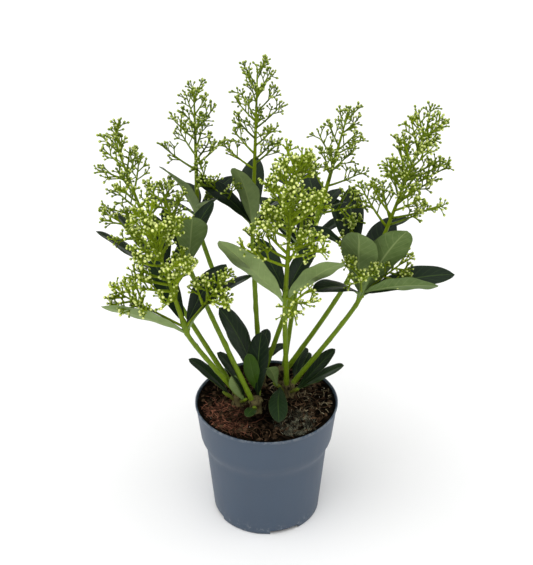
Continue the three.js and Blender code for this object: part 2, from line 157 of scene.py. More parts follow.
# Stems, brown up to a height and then green, the leafy stretches at their tops, and the leaf scars that
# stand out of their bark
STEM = {"foot": 2.2, "top": 1.8, "sway": 0.1, "sunk": 2.5, "sides": 14, "points": 30}
STEM_BROWN = 118
STEM_GREEN = 134
WHORL = {
    "length": 15,
    "radius": 2.4,
    "tip": 2,
    "swelling": 4,
    "steps": 6,
    "lowest_leaf": 0.1,
    "highest_leaf": 0.5,
    "spray": 0.4,
}
SCARS = {
    "first": (6, 16),
    "gap": 17,
    "gap_share": (0.6, 1.4),
    "whorl_gap_share": 0.2,
    "whorl_start": 6,
    "length": 1.6,
    "narrowness": 2.2,
    "height": 0.5,
    "ring": 0.12,
}

# Spurs that carry the leaves at the foot, their outline as share of the length and radius
SPUR = {"rise": 40, "length": 18, "first_leaf": 9, "share": 0.1, "sides": 10}
SPUR_OUTLINE = [(0, 2.2), (0.35, 1.9), (0.5, 1.6), (0.7, 1.8), (0.9, 1.4), (1, 0.5)]

# Leaves: width and arch as shares of a leaf's length, and the powers of a blade's outline, which say
# where it is widest and how full it is. A blade's mesh has rows along it and columns across.
LEAF = {"width": 0.34, "arch": 0.08, "set": 0.7, "fold": 0.2, "roll": 12}
OUTLINES = {"whorl": (1.42, 0.66), "foot": (1.65, 0.52)}
BLADE = {
    "stalk": 0.16,
    "stalk_depth": 1,
    "opening": 0.12,
    "stalk_half_width": 1.1,
    "tip_half_width": 0.12,
    "keel": 0.5,
    "droop": 0.07,
    "bend": 0.03,
    "ripple": (0.02, 0.06),
    "ripple_pace": 19,
    "ripple_start": (0, 6.3),
    "ripple_shift": 2,
    "thickness": (0.32, 0.2),
    "thin_edge": 0.6,
    "rib": 0.75,
    "rib_taper": 0.7,
    "rib_width": 0.9,
    "groove": 0.25,
}
VEINS = {"pace": 62, "slant": 13}
BLADE_ROWS = [i / 25 for i in range(26)]
BLADE_COLUMNS = [-1, -0.94, -0.75, -0.5, -0.25, -0.1, 0, 0.1, 0.25, 0.5, 0.75, 0.94, 1]

# Panicles and side sprays, as in the solids
PANICLE = {
    "foot": 2,
    "tip": 0.65,
    "spacing": 9,
    "turn_jitter": 15,
    "longest": 32,
    "shortest": 13,
    "shortening": 1.5,
    "reach": (0.85, 1.1),
    "crown": 12,
    "lowest_opening": 62,
    "highest_opening": 38,
    "lift": 0.16,
    "most_buds": 2,
    "fewest_buds": 1,
}
SPRAY = {"bare": 0.45, "spread": 0.55, "foot": 1.1}

# Shoots: stub, place on it, stem, panicle, bare stretch, spread, turn of the lowest branch, ripeness of
# the buds, leaves and side sprays. Stem, panicle, leaf and spray are each a turn, a rise and a length.
# Some leaves have a roll about their midrib and an arch of their own.
SHOOTS = {
    "left": (
        "left", 0, (169, 60, 112), (158, 71, 133), 40, 1.05, 0, 0.55,
        [(183, 41, 70, 8, 0.02), (153, 46, 70, 25, 0.03), (110, 40, 57), (30, 40, 50)],
        [(182, 56, 72)],
    ),
    "back_left": (
        "back", 0, (161, 69, 146), (92, 81, 112), 28, 0.95, 165, 0.35,
        [(234, 55, 72), (42, 34, 46), (106, 18, 42), (175, 14, 46), (300, 36, 42)],
        [],
    ),
    "back": (
        "back", 2, (124, 86, 132), (74, 83, 138), 37, 1, 165, 0.3,
        [(87, 48, 62), (246, 64, 70, -10), (8, 33, 50), (194, 44, 62, -25), (318, 40, 46)],
        [(196, 49, 70)],
    ),
    "front": (
        "right", 0, (263, 68, 108), (284, 81, 135), 20, 1.4, 190, 1,
        [(210, 50, 85, 30, 0.02), (324, 43, 68, -36), (59, 30, 52), (119, 32, 54)],
        [(296, 16, 34)],
    ),
    "back_right": (
        "back", 1, (25, 69, 145), (38, 71, 97), 10, 1.1, 120, 0.4,
        [(60, 14, 44), (330, 36, 30), (100, 20, 48), (150, 26, 46)],
        [(325, 24, 42)],
    ),
    "right": (
        "right", 1, (343, 58, 106), (22, 70, 158), 48, 1.3, 165, 0.6,
        [
            (259, 62, 86), (309, 59, 86, -38), (4, 12, 75, 12),
            (226, 24, 62), (62, 37, 70), (324, 22, 69, -46, 0.03),
        ],
        [(261, 52, 50), (352, 44, 52), (120, 52, 38)],
    ),
    "front_left": (
        "left", 1, (229, 56, 101), (227, 73, 122), 20, 1.1, 60, 1,
        [(198, 28, 70, 42, 0.02), (354, 44, 70), (49, 38, 58), (128, 42, 58)],
        [(338, 55, 62), (190, 36, 66)],
    ),
    "mid_left": (
        "middle", 0, (182, 68, 134), (196, 75, 76), 14, 0.6, 90, 0.5,
        [(281, 56, 70), (45, 56, 50), (120, 34, 46)],
        [],
    ),
    "mid_right": (
        "rear", 2, (358, 61, 117), (121, 78, 40), 6, 0.25, 200, 0.55,
        [(91, 54, 63), (112, 46, 55), (190, 42, 46), (20, 28, 56)],
        [],
    ),
    "rear": (
        "rear", 0, (70, 64, 98), (84, 62, 84), 14, 1, 15, 0.4,
        [(20, 32, 58), (126, 28, 66), (76, 30, 60), (200, 44, 48)],
        [],
    ),
}

# Leaves at the foot of the plant: stub, turn of the spur, freshness of each leaf, and leaves
FOOT_LEAVES = {
    "left": ("left", 185, (0.1,), [(161, 39, 46, 5)]),
    "left_inner": ("left", 300, (0.9, 0), [(224, 66, 32, 90, 0), (178, 64, 50, -10)]),
    "middle": ("middle", 265, (0.2,), [(256, 20, 26)]),
    "middle_rear": ("middle", 75, (0, 0.9), [(79, 74, 56), (160, 76, 38, -62)]),
    "right": ("right", 305, (0.1, 0.1), [(347, 37, 51, 2, 0.02), (21, 43, 47, 0, 0.02)]),
    "right_inner": ("right", 190, (0, 0.3), [(268, -3, 46, 0), (250, 58, 34, 30)]),
    "right_rear": ("right", 50, (0, 0), [(72, 24, 36), (66, 18, 30)]),
    "back": ("back", 240, (0,), [(169, 67, 76, -15)]),
    "rear": ("back", 110, (0, 0, 0), [(130, 40, 50), (67, 49, 38), (40, 20, 36)]),
}

# Panicles in full: twigs as radius at foot and tip, made stouter as the panicle ripens. A branch's tone
# comes from chance and from ripeness, and its buds share a part of it.
TWIGS = {
    "low_branch": (1.0, 0.5),
    "high_branch": (0.65, 0.45),
    "fork": (0.54, 0.42),
    "stalk": (0.4, 0.4),
}
TWIG_SIDES = {"axis": 9, "branch": 5, "stalk": 4}
STOUTNESS = (0.85, 1.35)
TONES = {"axis": 0.55, "branch": 0.55, "ripeness": 0.45, "shared": 0.4}

# Axis of a panicle, the shorter branches put in between its main ones, the forks along a branch, and the
# clusters at the end of a branch and on the crown
AXIS = {"sunk": 4, "steps": 8}
BETWEEN = {
    "young": 1,
    "ripe": 2,
    "ripe_from": 0.58,
    "place": (0.3, 0.7),
    "turns": 1.5,
    "turn_jitter": 25,
    "reach": (0.65, 0.95),
}
FORKS = {
    "bare": 0.33,
    "last": 0.92,
    "gap": 2.9,
    "place": (0.1, 0.9),
    "turn_jitter": 70,
    "opening": 50,
    "opening_share": (0.75, 1.2),
    "lift": 0.2,
    "longest": 10,
    "shortest": 5,
    "length_share": (0.75, 1.15),
    "full_branch": 22,
    "fewest_stalks": 2,
    "stalk_gap": 5,
}
BRANCH_END = {"points": 6, "twig": 0.9, "buds": 0.86, "share": 0.06, "length": 0.6, "stalks": 3}
CROWN_END = {"drop": 2, "share": 0.6, "stalks": 5}

# Stalks and buds, each between its young and its ripe size
STALKS = {
    "young_length": 2.8,
    "ripe_length": 4.3,
    "opening": 48,
    "last_opening": 8,
    "unevenness": (0.7, 1.25),
    "turn_jitter": 50,
    "gap": 2.2,
    "most_drop": 0.6,
    "lift": 0.2,
}
BUD = {
    "young_radius": 0.85,
    "ripe_radius": 1.2,
    "young_slimness": 3,
    "ripe_slimness": 2,
    "ripe_share": 0.42,
    "unripe": (0.15, 0.6),
    "size": (0.85, 1.12),
}
BUD_OUTLINE = [(0, 0), (0.5, 0.04), (0.78, 0.24), (1, 0.48), (0.86, 0.76), (0.45, 0.95), (0, 1)]
BUD_SIDES = 6


# Small tools


def mix(low, high, share):
    """The value at a share of the way from low to high."""
    return low + (high - low) * share


def rounded(value):
    """The nearest whole number, halves upwards."""
    return math.floor(value + 0.5)


def make_dice(seed):
    """A seeded generator of evenly spread numbers, from 0 to 1 unless a range is given."""
    state = seed

    def roll(low=0, high=1):
        nonlocal state
        state = state * DICE_FACTOR % DICE_RANGE
        return mix(low, high, state / DICE_RANGE)

    return roll


def heading(turn, rise):
    """The unit vector at a turn and a rise."""
    level = math.cos(math.radians(rise))
    around = math.radians(turn)
    return Vector((level * math.cos(around), level * math.sin(around), math.sin(math.radians(rise))))


def aside(direction):
    """A direction well away from a given one."""
    return Vector((0, 0, 1)) if abs(direction.z) < 0.9 else Vector((0, 1, 0))


def turned(vector, axis, angle):
    """A vector turned about an axis by an angle."""
    return Matrix.Rotation(math.radians(angle), 3, axis) @ vector


def opened(axis, side, angle):
    """A direction opened away from an axis, towards a side square to it."""
    return axis * math.cos(math.radians(angle)) + side * math.sin(math.radians(angle))


class Bow:
    """A curve from a root to a tip, drawn towards a crest."""

    def __init__(self, root, crest, tip):
        self.root = root
        self.crest = crest
        self.tip = tip

    def point(self, share):
        """The place at a share of the way."""
        return self.root.lerp(self.crest, share).lerp(self.crest.lerp(self.tip, share), share)

    def along(self, share):
        """The direction at a share of the way."""
        return (self.crest - self.root).lerp(self.tip - self.crest, share).normalized()

    def points(self, count, end=1):
        """Places at even steps from the root to an end, which is a share of the way."""
        return [self.point(end * i / (count - 1)) for i in range(count)]


# Meshes


class Sheaf:
    """Many small shapes of one kind, gathered into one mesh with a value or vector at each corner."""

    def __init__(self):
        self.corners = []
        self.faces = []
        self.values = {}
        self.count = 0

    def add(self, corners, faces, **values):
        """Adds a shape. A value is one number for the whole shape, or has an entry for each corner."""
        corners = np.asarray(corners, dtype=float)
        self.corners.append(corners)
        self.faces += [tuple(self.count + i for i in face) for face in faces]
        self.count += len(corners)
        for key, value in values.items():
            value = np.asarray(value, dtype=float)
            whole = value if value.ndim else np.full(len(corners), value)
            self.values.setdefault(key, []).append(whole)

    def piece(self, name, finish, slot, *nodes):
        """Puts all the shapes in the scene as one piece."""
        mesh = bpy.data.meshes.new(name)
        mesh.from_pydata(np.concatenate(self.corners) * MM, [], self.faces)
        for key, parts in self.values.items():
            whole = np.concatenate(parts)
            kind, field = ("FLOAT", "value") if whole.ndim == 1 else ("FLOAT_VECTOR", "vector")
            mesh.attributes.new(key, kind, "POINT").data.foreach_set(field, whole.ravel())
        show(name, mesh, finish, slot, *nodes)


def show(name, mesh, finish, slot, *nodes):
    """Puts a mesh in the scene as a piece of the object, in place of the solids that it stands for."""
    mesh.polygons.foreach_set("use_smooth", [True] * len(mesh.polygons))
    mesh.update()
    piece = bpy.data.objects.new(name, mesh)
    bpy.context.scene.collection.objects.link(piece)
    mesh.materials.append(finish.material)
    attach(piece, "root")
    if nodes:
        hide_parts(*nodes)
    return piece


def unit_rows(rows):
    """Vectors in rows, each scaled to length one."""
    return rows / np.linalg.norm(rows, axis=1, keepdims=True)


def tube_faces(rows, sides):
    """The faces of a closed tube whose corners are rings in order."""
    faces = [tuple(range(sides))[::-1], tuple(range((rows - 1) * sides, rows * sides))]
    for row in range(rows - 1):
        for side in range(sides):
            low = row * sides + side
            after = row * sides + (side + 1) % sides
            faces.append((low, after, after + sides, low + sides))
    return faces


def tube(line, radii, sides):
    """A closed tube round a line of points, with one radius for each point or for each corner."""
    line = np.array([tuple(point) for point in line])
    along = unit_rows(np.gradient(line, axis=0))
    up = np.array(aside(Vector(line[-1] - line[0]).normalized()))
    side = unit_rows(np.cross(along, up))
    face = np.cross(along, side)
    angles = np.linspace(0, 2 * math.pi, sides, endpoint=False)
    ring = np.cos(angles)[:, None] * side[:, None, :] + np.sin(angles)[:, None] * face[:, None, :]
    radii = np.asarray(radii, dtype=float)
    spread = radii[:, None, None] if radii.ndim == 1 else radii[:, :, None]
    corners = line[:, None, :] + spread * ring
    return corners.reshape(-1, 3), tube_faces(len(line), sides)


def spun(profile, steps):
    """A bmesh turned about Z from an outline of radius and height that starts and ends on the axis."""
    shape = bmesh.new()
    corners = [shape.verts.new((radius * MM, 0, height * MM)) for radius, height in profile]
    edges = [shape.edges.new(pair) for pair in zip(corners, corners[1:])]
    bmesh.ops.spin(
        shape,
        geom=corners + edges,
        cent=(0, 0, 0),
        axis=(0, 0, 1),
        angle=2 * math.pi,
        steps=steps,
        use_merge=True,
    )
    bmesh.ops.remove_doubles(shape, verts=shape.verts, dist=TOUCHING * MM)
    bmesh.ops.recalc_face_normals(shape, faces=shape.faces)
    return shape


def stepped(profile, ring):
    """An outline with further points put in, so that none are more than ring apart."""
    points = [profile[0]]
    for start, end in zip(profile, profile[1:]):
        parts = max(1, math.ceil(math.dist(start, end) / ring))
        step = np.subtract(end, start)
        points += [tuple(np.add(start, step * i / parts)) for i in range(1, parts + 1)]
    return points


def mesh_of(shape, name):
    """A mesh made from a bmesh, which is then freed."""
    mesh = bpy.data.meshes.new(name)
    shape.to_mesh(mesh)
    shape.free()
    return mesh


# Finishes


def linear(part):
    """One part of a display colour, from 0 to 255, as the shader's linear value."""
    part /= 255
    return part / 12.92 if part <= 0.04045 else ((part + 0.055) / 1.055) ** 2.4


def paint(red, green, blue):
    """A display colour as the shader's linear colour."""
    return linear(red), linear(green), linear(blue), 1


class Wire:
    """One output of a finish's nodes. Arithmetic on it adds Math nodes."""

    def __init__(self, finish, socket):
        self.finish = finish
        self.socket = socket

    def math(self, operation, *terms):
        """One operation on its terms, which are wires or numbers."""
        return self.finish.node("ShaderNodeMath", {"operation": operation}, dict(enumerate(terms)))

    def __add__(self, other):
        return self.math("ADD", self, other)

    def __sub__(self, other):
        return self.math("SUBTRACT", self, other)

    def __rsub__(self, other):
        return self.math("SUBTRACT", other, self)

    def __mul__(self, other):
        return self.math("MULTIPLY", self, other)

    __radd__ = __add__
    __rmul__ = __mul__


class Finish:
    """A material on one shader. What is the same all over is set on the shader itself."""

    def __init__(self, name, **constants):
        self.material = bpy.data.materials.new(name)
        self.material.use_nodes = True
        self.tree = self.material.node_tree
        self.shader = self.tree.nodes["Principled BSDF"]
        self.give(**constants)

    def node(self, kind, settings, sockets, output=0):
        """Adds a node with its settings, then its sockets' values or links, and gives one output."""
        node = self.tree.nodes.new(kind)
        for key, value in settings.items():
            setattr(node, key, value)
        for key, value in sockets.items():
            self.feed(node.inputs[key], value)
        return Wire(self, node.outputs[output])

    def feed(self, socket, value):
        """Links a wire to a socket, or sets a number or colour on it."""
        if isinstance(value, Wire):
            self.tree.links.new(value.socket, socket)
        else:
            socket.default_value = value

    def give(self, **inputs):
        """Feeds the shader's own sockets, which are named as base_color is."""
        for key, value in inputs.items():
            socket = key.replace("_", " ").title().replace("Ior", "IOR")
            self.feed(self.shader.inputs[socket], value)

    def place(self):
        """The place on the object, in metres."""
        return self.node("ShaderNodeTexCoord", {}, {}, "Object")

    def attribute(self, name, output="Fac"):
        """What a mesh holds at its corners under a name."""
        return self.node("ShaderNodeAttribute", {"attribute_name": name}, {}, output)

    def parts(self, vector):
        """The three parts of a vector."""
        return [self.node("ShaderNodeSeparateXYZ", {}, {0: vector}, i) for i in range(3)]

    def grain(self, place, scale, detail=3, roughness=0.55):
        """Cloudy noise, finer as the scale grows."""
        sockets = {"Vector": place, "Scale": scale, "Detail": detail, "Roughness": roughness}
        return self.node("ShaderNodeTexNoise", {}, sockets)

    def stretched(self, place, scale):
        """A place scaled along each axis, so that noise on it is drawn out."""
        return self.node("ShaderNodeMapping", {}, {"Vector": place, "Scale": scale})

    def fade(self, value, start, end):
        """Rises smoothly from 0 to 1 as the value goes from start to end."""
        settings = {"interpolation_type": "SMOOTHSTEP"}
        return self.node("ShaderNodeMapRange", settings, {0: value, 1: start, 2: end})

    def blend(self, share, first, second):
        """A colour at a share of the way from the first to the second."""
        return self.node("ShaderNodeMix", {"data_type": "RGBA"}, {0: share, 6: first, 7: second}, 2)

    def painted_shade_and_patches(self, colour):
        """A colour darkened towards the foot of the plant as painted shade, and further out in random
        patches.
        """
        place = self.place()
        x, y, _ = self.parts(place)
        middle_x, middle_y = SHADE_AND_PATCHES["middle"]
        scale = 1 / (SHADE_AND_PATCHES["radius"] * MM)
        off_x = (x - middle_x * MM) * scale
        off_y = (y - middle_y * MM) * scale
        far = self.fade(off_x * off_x + off_y * off_y, *SHADE_AND_PATCHES["edge"])
        patch = self.fade(self.grain(place, SHADE_AND_PATCHES["patch_scale"], 2), *SHADE_AND_PATCHES["patch_edge"])
        own_colour_share = far * (1 - SHADE_AND_PATCHES["patch_share"] + SHADE_AND_PATCHES["patch_share"] * patch)
        share = own_colour_share * (1 - SHADE_AND_PATCHES["least_own_colour"]) + SHADE_AND_PATCHES["least_own_colour"]
        # Near-black painted shade round the stubs; further out the same colour gives random darker
        # patches.
        return self.blend(share, paint(3, 2, 1), colour)

    def relief(self, height, depth, strength=1):
        """Bumps of a depth in millimetres."""
        sockets = {"Height": height, "Distance": depth * MM, "Strength": strength}
        return self.node("ShaderNodeBump", {}, sockets)


def leaf_finish():
    """Leathery leaf: dark above, fresh green when young, dull and pale beneath, with slanted veins."""
    finish = Finish("leathery_leaf", specular_ior_level=0.16)
    across, along, under = finish.parts(finish.attribute("blade", "Vector"))
    tone = finish.attribute("tone")
    fresh = finish.attribute("fresh")
    mottle = finish.grain(finish.place(), 160, 4)
    off = across.math("ABSOLUTE", across)
    midrib = 1 - finish.fade(off, 0.02, 0.075)
    slant = along * VEINS["pace"] - off * VEINS["slant"]
    wave = slant.math("SINE", slant)
    veined = finish.fade(off, 0.04, 0.14) * (1 - finish.fade(off, 0.75, 0.98))
    vein = finish.fade(wave, 0.82, 1) * veined
    margin = finish.fade(off, 0.93, 1)
    shade = tone * 0.75 + mottle * 0.5 - 0.12
    old = finish.blend(shade, paint(9, 22, 13), paint(30, 49, 25))
    young = finish.blend(shade, paint(30, 54, 4), paint(60, 90, 12))
    upper = finish.blend(fresh, old, young)
    lower = finish.blend(shade, paint(72, 98, 38), paint(146, 166, 106))
    upper = finish.blend(midrib * 0.5 + vein * 0.12, upper, paint(74, 98, 42))
    lower = finish.blend(midrib * 0.6 + vein * 0.2, lower, paint(154, 170, 108))
    colour = finish.blend(under, upper, lower)
    finish.give(
        base_color=finish.blend(margin * 0.3, colour, paint(90, 108, 48)),
        roughness=0.34 + under * 0.24 + mottle * 0.1,
        normal=finish.relief(mottle * 0.5 - midrib * 0.5 - vein * 0.35, 0.4, 0.5),
    )
    return finish


def twig_finish():
    """Tender green twigs, some yellower than others."""
    finish = Finish("tender_twig", specular_ior_level=0.15)
    tone = finish.attribute("tone")
    streak = finish.grain(finish.place(), 500, 2)
    finish.give(
        base_color=finish.blend(tone + streak * 0.4 - 0.2, paint(72, 93, 6), paint(138, 160, 16)),
        roughness=0.45 + streak * 0.15,
    )
    return finish


def bud_finish():
    """Round buds: a green cup below, then petals that pale to cream at the tip as they ripen."""
    finish = Finish("cream_bud", specular_ior_level=0.2)
    tone = finish.attribute("tone")
    ripe = finish.attribute("ripe")
    length = finish.attribute("length")
    speck = finish.grain(finish.place(), 900, 2)
    shade = tone + speck * 0.4 - 0.2
    young = finish.blend(shade, paint(84, 105, 18), paint(136, 156, 50))
    grown = finish.blend(shade, paint(108, 134, 12), paint(160, 180, 40))
    petal = finish.blend(ripe, young, grown)
    tip = finish.blend(ripe, paint(158, 174, 84), paint(230, 237, 150))
    pale = finish.blend(finish.fade(length, 0.5, 0.86), petal, tip)
    finish.give(
        base_color=finish.blend(finish.fade(length, 0.16, 0.42), paint(66, 92, 10), pale),
        roughness=0.4 + speck * 0.15,
    )
    return finish


def stem_finish():
    """Smooth green bark with pale specks, brown towards its foot."""
    finish = Finish("green_stem", specular_ior_level=0.2)
    place = finish.place()
    height = finish.parts(place)[2]
    streak = finish.grain(finish.stretched(place, (1, 1, 0.2)), 900, 3)
    patch = finish.grain(place, 120, 3)
    speck = finish.fade(finish.grain(place, 1100, 1), 0.66, 0.74)
    green = finish.blend(streak * 0.9 + patch * 0.6 - 0.25, paint(74, 98, 6), paint(122, 148, 22))
    speckled = finish.blend(speck * 0.5, green, paint(166, 180, 74))
    brown = finish.blend(streak, paint(70, 70, 26), paint(104, 102, 48))
    low = finish.fade(height + patch * 0.02, STEM_GREEN * MM, STEM_BROWN * MM)
    finish.give(
        base_color=finish.blend(low, speckled, brown),
        roughness=0.4 + patch * 0.25,
        normal=finish.relief(streak + speck * 0.6, 0.3, 0.5),
    )
    return finish


def bark_finish():
    """Tan and grey bark of the woody stubs, cracked along its length, with painted shade in the cracks.
    """
    finish = Finish("tan_bark", specular_ior_level=0.1)
    place = finish.place()
    crack = finish.grain(finish.stretched(place, (1, 1, 0.3)), 420, 6, 0.65)
    patch = finish.grain(place, 110, 3)
    colour = finish.blend(patch * 1.4 - 0.2, paint(66, 58, 34), paint(114, 106, 70))
    finish.give(
        # The dark colour in the cracks is painted shade in the bark's grooves.
        base_color=finish.blend(finish.fade(crack, 0.52, 0.36), colour, paint(26, 20, 12)),
        roughness=0.8 + crack * 0.2,
        normal=finish.relief(crack, 1.2, 0.8),
    )
    return finish


def pot_finish():
    """Satin slate-blue plastic: cloudy, with fine grain, dusty scuffs low down and paler patches along
    the top of the lip.
    """
    finish = Finish("slate_plastic", specular_ior_level=0.75)
    place = finish.place()
    height = finish.parts(place)[2]
    cloud = finish.grain(place, 22, 4)
    fine = finish.grain(place, 1500, 2)
    streak = finish.grain(finish.stretched(place, (1, 1, 0.12)), 160, 4)
    patchiness = finish.grain(place, 260, 5, 0.7)
    pale_from, pale_to = [(POT_HEIGHT - drop) * MM for drop in PALE_LIP]
    low = finish.fade(height, DUSTY_FOOT * MM, 0) * finish.fade(patchiness, 0.52, 0.7)
    lip = finish.fade(height, pale_from, pale_to) * finish.fade(patchiness, 0.4, 0.65)
    colour = finish.blend(cloud * 0.9 + streak * 0.5 - 0.2, paint(35, 56, 78), paint(49, 70, 92))
    finish.give(
        base_color=finish.blend(low * 0.5 + lip * 0.3, colour, paint(164, 168, 170)),
        roughness=0.38 + streak * 0.14 + cloud * 0.12 + low * 0.2,
        normal=finish.relief(fine * 0.6 + streak * 0.8, 0.3, 0.35),
    )
    return finish


def compost_finish():
    """Dark crumbly compost, with painted shade round the stubs and random darker patches."""
    finish = Finish("compost_with_painted_shade", specular_ior_level=0.02)
    crumb = finish.grain(finish.place(), 330, 6, 0.7)
    colour = finish.blend(finish.fade(crumb, 0.36, 0.68), paint(1, 1, 0), paint(30, 22, 14))
    finish.give(
        base_color=finish.painted_shade_and_patches(colour),
        roughness=0.75 + crumb * 0.25,
        normal=finish.relief(crumb, 1.5),
    )
    return finish


def bits_finish(name, dark, light):
    """Fibres, chips, grains or moss, each bit of its own tone, with painted shade round the stubs."""
    finish = Finish(name, specular_ior_level=0.02)
    tone = finish.attribute("tone")
    streak = finish.grain(finish.place(), 700, 3)
    finish.give(
        base_color=finish.painted_shade_and_patches(finish.blend(tone * 0.8 + streak * 0.5 - 0.15, dark, light)),
        roughness=0.7 + streak * 0.25,
        normal=finish.relief(streak, 0.4, 0.6),
    )
    return finish


# Pot and compost


def inner_radius(height):
    """The radius of the pot's inner face at a height."""
    radii, heights = zip(*POT_OUTLINE)
    return float(np.interp(height, heights, radii)) - POT_WALL


def slot_blocks():
    """The blocks that cut the drainage slots, with their level edges rounded."""
    blocks = bmesh.new()
    size = Matrix.Diagonal((2 * SLOTS["depth"] * MM, SLOTS["width"] * MM, 2 * SLOTS["height"] * MM, 1))
    place = Matrix.Translation((POT_OUTLINE[1][0] * MM, 0, 0))
    for i in range(SLOTS["count"]):
        around = Matrix.Rotation(math.radians(SLOTS["turn"] + 360 / SLOTS["count"] * i), 4, "Z")
        bmesh.ops.create_cube(blocks, size=1, matrix=around @ place @ size)
    level = []
    for edge in blocks.edges:
        start, end = edge.verts
        if abs(start.co.z - end.co.z) < TOUCHING * MM:
            level.append(edge)
    bmesh.ops.bevel(
        blocks,
        geom=level,
        offset=SLOTS["rounding"] * MM,
        affect="EDGES",
        segments=3,
        profile=0.5,
        material=-1,
    )
    return blocks


def make_pot(finish):
    """The pot: one spun shell with a rolled lip, cut by drainage slots in its bottom edge."""
    lip = [(POT_RIM - inset, POT_HEIGHT - drop) for inset, drop in LIP_OUTLINE]
    heights = [height for _, height in reversed(POT_OUTLINE) if height > POT_FLOOR]
    inside = [(inner_radius(height), height) for height in [*heights, POT_FLOOR]]
    profile = stepped([(0, 0), *POT_OUTLINE, *lip, *inside, (0, POT_FLOOR)], POT_RING)
    pot = show("pot_shell", mesh_of(spun(profile, POT_STEPS), "pot_shell"), finish, "pot", "pot")
    tool = bpy.data.objects.new("slot_cutter", mesh_of(slot_blocks(), "slot_cutter"))
    bpy.context.scene.collection.objects.link(tool)
    cut = pot.modifiers.new("slots", "BOOLEAN")
    cut.object = tool
    cut.operation = "DIFFERENCE"
    cut.solver = "EXACT"
    whole = bpy.data.meshes.new_from_object(pot.evaluated_get(bpy.context.evaluated_depsgraph_get()))
    pot.modifiers.remove(cut)
    pot.data = whole
    bpy.data.objects.remove(tool)
    whole.set_sharp_from_angle(angle=math.radians(POT_CREASE))


def soil_height(x, y):
    """The height of the compost's top, lumpy all over and heaped a little against the pot's wall."""
    place = Vector((x, y, 0))
    lump = sum(height * noise.noise(place * fineness) for fineness, height in SOIL_LUMPS)
    edge = max(0, math.hypot(x, y) - SOIL_HEAP["start"]) / SOIL_HEAP["width"]
    return SOIL_LEVEL + lump * (1 - SOIL_HEAP["evenness"] * edge) + SOIL_HEAP["height"] * edge


def make_soil(finish):
    """The compost: a spun block whose top is raised into lumps."""
    top = [(SOIL_RADIUS * i / SOIL_RINGS, SOIL_LEVEL) for i in range(SOIL_RINGS + 1)]
    side = [(inner_radius(height) - CLEARANCE, height) for height in SOIL_SIDE]
    shape = spun([*top, *side, (0, SOIL_SIDE[-1])], SOIL_STEPS)
    for corner in shape.verts:
        if corner.co.z > mix(SOIL_SIDE[0], SOIL_LEVEL, 0.5) * MM:
            corner.co.z = soil_height(corner.co.x / MM, corner.co.y / MM) * MM
    bmesh.ops.recalc_face_normals(shape, faces=shape.faces)
    show("compost_bed", mesh_of(shape, "compost_bed"), finish, "compost", "compost")


def scattered(dice, radius):
    """An offset anywhere within a radius, evenly spread."""
    turn = dice(0, 2 * math.pi)
    out = radius * math.sqrt(dice())
    return out * math.cos(turn), out * math.sin(turn)


def make_fibres(name, finish):
    """Curled fibres, or short straight bits of straw, lying on the compost."""
    seed, count, middle, radius, lengths, thicknesses, most_bend = FIBRES[name]
    dice = make_dice(seed)
    sheaf = Sheaf()
    steps = FIBRE["steps"]
    for _ in range(count):
        x, y = np.add(scattered(dice, radius), middle)
        length = dice(*lengths)
        turn = dice(0, 360)
        bend = dice(-most_bend, most_bend)
        raised = dice(*FIBRE["rise"])
        thick = dice(*thicknesses)
        tone = dice()
        line = []
        for step in range(steps + 1):
            if math.hypot(x, y) > SOIL_RADIUS - FIBRE["margin"]:
                break
            bulge = math.sin(math.pi * step / steps)
            line.append((x, y, soil_height(x, y) + raised * bulge + FIBRE["lift"]))
            around = math.radians(turn + bend * step / steps)
            x += length / steps * math.cos(around)
            y += length / steps * math.sin(around)
        # A fibre ends where it leaves the compost, and one that has lost half its length is dropped.
        if len(line) > steps / 2:
            radii = np.linspace(thick, FIBRE["taper"] * thick, len(line))
            sheaf.add(*tube(line, radii, FIBRE["sides"]), tone=tone * tone)
    sheaf.piece(name, finish, "compost")


def make_lumps(name, finish):
    """Chips or grains: small uneven lumps half sunk in the compost."""
    seed, count, radius, sizes, flat = LUMPS[name]
    dice = make_dice(seed)
    shape = bmesh.new()
    bmesh.ops.create_icosphere(shape, subdivisions=1, radius=1)
    ball = np.array([tuple(corner.co) for corner in shape.verts])
    faces = [tuple(corner.index for corner in face.verts) for face in shape.faces]
    shape.free()
    sheaf = Sheaf()
    for _ in range(count):
        x, y = scattered(dice, radius)
        size = np.array([dice(*sizes), dice(*sizes), dice(*sizes) * flat])
        uneven = np.array([[dice(*LUMP["uneven"])] for _ in ball])
        spin = Matrix.Rotation(dice(0, 2 * math.pi), 3, "Z")
        tilt = Matrix.Rotation(dice(-LUMP["tilt_radians"], LUMP["tilt_radians"]), 3, "X")
        corners = (ball * uneven * size) @ np.array(spin @ tilt).T
        sheaf.add(corners + (x, y, soil_height(x, y) + LUMP["lift"] * size[2]), faces, tone=dice())
    sheaf.piece(name, finish, "compost")


def make_moss(finish):
    """Tufts of grey-green mossy threads over the front right of the compost."""
    dice = make_dice(MOSS["seed"])
    sheaf = Sheaf()
    radii = np.linspace(MOSS["thickness"], MOSS["taper"] * MOSS["thickness"], MOSS["points"])
    for _ in range(MOSS["tufts"]):
        middle = np.add(scattered(dice, MOSS["radius"]), MOSS["middle"])
        age = dice(0, MOSS["tuft_tone"])
        for _ in range(MOSS["threads"]):
            x, y = middle + scattered(dice, MOSS["tuft"])
            lean = heading(dice(0, 360), dice(*MOSS["rise"]))
            length = dice(*MOSS["length"])
            tone = (age + dice(0, MOSS["thread_tone"])) ** MOSS["contrast"]
            if math.hypot(x, y) > SOIL_RADIUS - MOSS["margin"]:
                continue
            root = Vector((x, y, soil_height(x, y) - MOSS["sunk"]))
            tip = root + lean * length
            crest = root.lerp(tip, 0.5) + Vector((0, 0, MOSS["bow"] * length))
            thread = Bow(root, crest, tip).points(MOSS["points"])
            sheaf.add(*tube(thread, radii, MOSS["sides"]), tone=tone)
    sheaf.piece("moss_threads", finish, "compost")


# Stubs, stems and spurs


